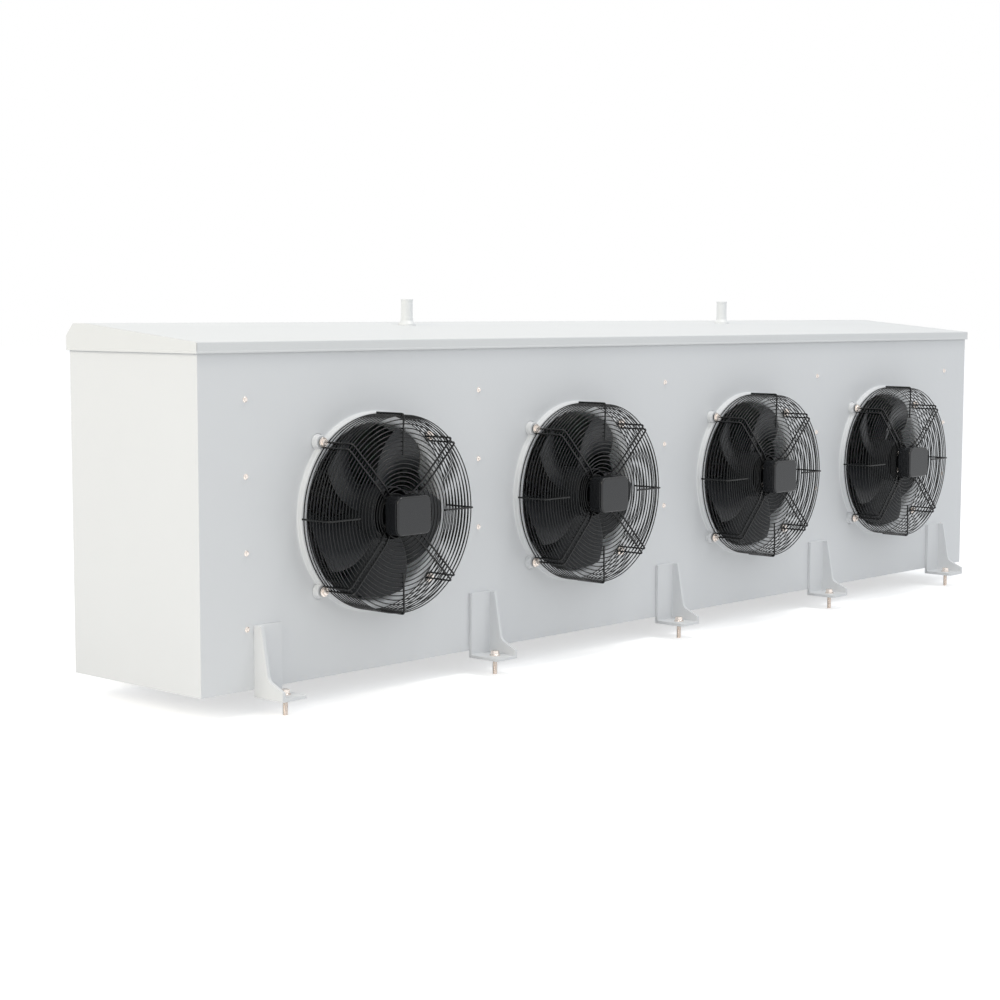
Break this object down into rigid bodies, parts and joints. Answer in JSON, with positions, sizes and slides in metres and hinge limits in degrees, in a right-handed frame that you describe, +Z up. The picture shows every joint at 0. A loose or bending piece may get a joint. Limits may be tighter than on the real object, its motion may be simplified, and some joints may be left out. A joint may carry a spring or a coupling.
{
  "type": "evaporator unit",
  "caption": "Long ceiling evaporator unit, shown tray up: a coated casing with wire-guarded fans in a row, a ridged drip tray with drains, a fin coil and bolted suspension brackets.",
  "frame": {"origin": "middle of the bounding box's base, on the plane of the bracket bolts' tips", "axes": "+X along the casing from the end that the picture shows nearest, +Y from the fans to the coil, +Z up to the drip tray as pictured"},
  "size_m": [3.6146, 0.775, 1.0267],
  "materials": {
    "casing_powder_coat": "fine-grained pale grey-white powder coat",
    "tray_powder_coat": "fine-grained white powder coat",
    "drain_plastic": "white moulded plastic",
    "galvanised_sheet": "galvanised sheet steel",
    "coil_fins": "thin bare aluminium fins",
    "copper_tube": "drawn copper tube",
    "zinc_fasteners": "warm passivated zinc",
    "guard_wire": "satin black coated steel wire",
    "motor_enamel": "satin black enamel",
    "impeller_enamel": "satin black coated sheet",
    "terminal_plastic": "black moulded plastic"
  },
  "bodies": {
    "casing": {"front_panel": "casing_powder_coat", "base_panel": "casing_powder_coat", "left_end_cover": "casing_powder_coat", "right_end_cover": "casing_powder_coat", "front_bracket_1": "casing_powder_coat", "front_bracket_2": "casing_powder_coat", "front_bracket_3": "casing_powder_coat", "front_bracket_4": "casing_powder_coat", "front_bracket_5": "casing_powder_coat", "rear_bracket_1": "casing_powder_coat", "rear_bracket_2": "casing_powder_coat", "rear_bracket_3": "casing_powder_coat", "rear_bracket_4": "casing_powder_coat", "rear_bracket_5": "casing_powder_coat", "drip_tray": "tray_powder_coat", "left_drain_outlet": "drain_plastic", "right_drain_outlet": "drain_plastic", "left_tube_sheet": "galvanised_sheet", "left_partition": "galvanised_sheet", "middle_partition": "galvanised_sheet", "right_partition": "galvanised_sheet", "right_tube_sheet": "galvanised_sheet", "fin_pack_1": "coil_fins", "fin_pack_2": "coil_fins", "fin_pack_3": "coil_fins", "fin_pack_4": "coil_fins", "left_return_bends": "copper_tube", "right_return_bends": "copper_tube", "liquid_header": "copper_tube", "suction_header": "copper_tube", "bracket_bolts": "zinc_fasteners", "panel_screws": "zinc_fasteners", "guard_bolts": "zinc_fasteners", "motor_bolts": "zinc_fasteners", "guard_1": "guard_wire", "guard_2": "guard_wire", "guard_3": "guard_wire", "guard_4": "guard_wire", "motor_1": "motor_enamel", "motor_2": "motor_enamel", "motor_3": "motor_enamel", "motor_4": "motor_enamel", "terminal_box_1": "terminal_plastic", "terminal_box_2": "terminal_plastic", "terminal_box_3": "terminal_plastic", "terminal_box_4": "terminal_plastic", "terminal_lid_1": "terminal_plastic", "terminal_lid_2": "terminal_plastic", "terminal_lid_3": "terminal_plastic", "terminal_lid_4": "terminal_plastic", "nozzle_ring_1": "casing_powder_coat", "nozzle_ring_2": "casing_powder_coat", "nozzle_ring_3": "casing_powder_coat", "nozzle_ring_4": "casing_powder_coat", "coil_tubes": "copper_tube"},
    "fan_1": {"impeller_1": "impeller_enamel"},
    "fan_2": {"impeller_2": "impeller_enamel"},
    "fan_3": {"impeller_3": "impeller_enamel"},
    "fan_4": {"impeller_4": "impeller_enamel"}
  },
  "joints": [
    {"name": "fan_1_spin", "type": "hinge", "parent": "casing", "child": "fan_1", "pos_m": [-1.2295, -0.2305, 0.475], "axis": [0, -1, 0], "continuous": true},
    {"name": "fan_2_spin", "type": "hinge", "parent": "casing", "child": "fan_2", "pos_m": [-0.4245, -0.2305, 0.475], "axis": [0, -1, 0], "continuous": true},
    {"name": "fan_3_spin", "type": "hinge", "parent": "casing", "child": "fan_3", "pos_m": [0.4245, -0.2305, 0.475], "axis": [0, -1, 0], "continuous": true},
    {"name": "fan_4_spin", "type": "hinge", "parent": "casing", "child": "fan_4", "pos_m": [1.2295, -0.2305, 0.475], "axis": [0, -1, 0], "continuous": true}
  ]
}
